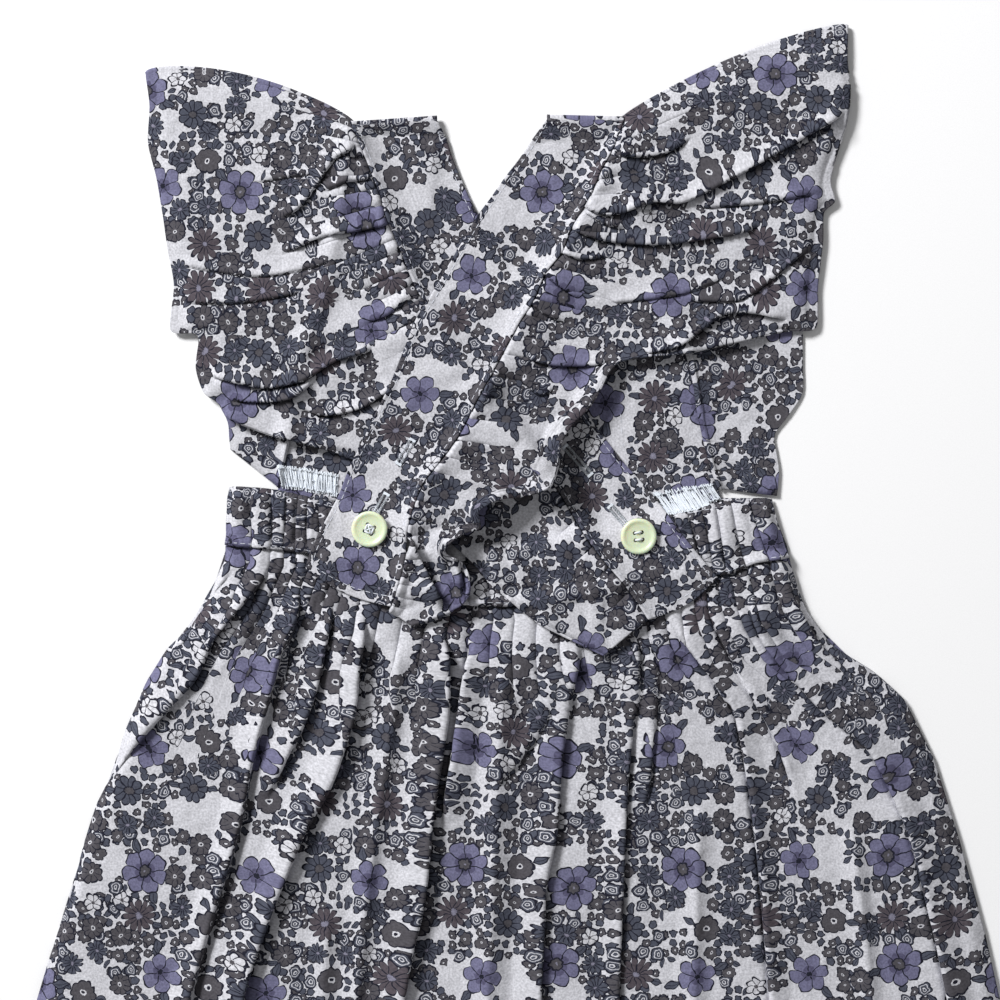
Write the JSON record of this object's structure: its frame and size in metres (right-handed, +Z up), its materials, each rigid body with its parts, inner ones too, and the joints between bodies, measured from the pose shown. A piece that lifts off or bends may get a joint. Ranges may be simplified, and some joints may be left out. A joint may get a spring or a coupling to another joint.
{
  "type": "pinafore dress",
  "caption": "Toddler's cross-back pinafore dress in ditsy-print cotton, laid face down: crossed buttoned straps, flutter ruffles, elastic back waist, gathered skirt.",
  "frame": {"origin": "centre of the garment's outline as it lies, on the table, which is also a point on the front skirt's flat underside", "axes": "+Z up out of the table, through the front to the back of the dress; +Y from the hem towards the shoulders; +X to the viewer's right, looking down at the back"},
  "size_m": [0.4283, 0.491, 0.0172],
  "materials": {
    "cotton": "matte",
    "button": "gloss"
  },
  "bodies": {
    "root": {"bodice_front": "cotton", "skirt_front": "cotton", "skirt_back": "cotton", "waistband_back": "cotton", "strap_left": "cotton", "strap_right": "cotton", "ruffle_left": "cotton", "ruffle_right": "cotton", "button_left": "button", "button_right": "button"}
  },
  "joints": []
}
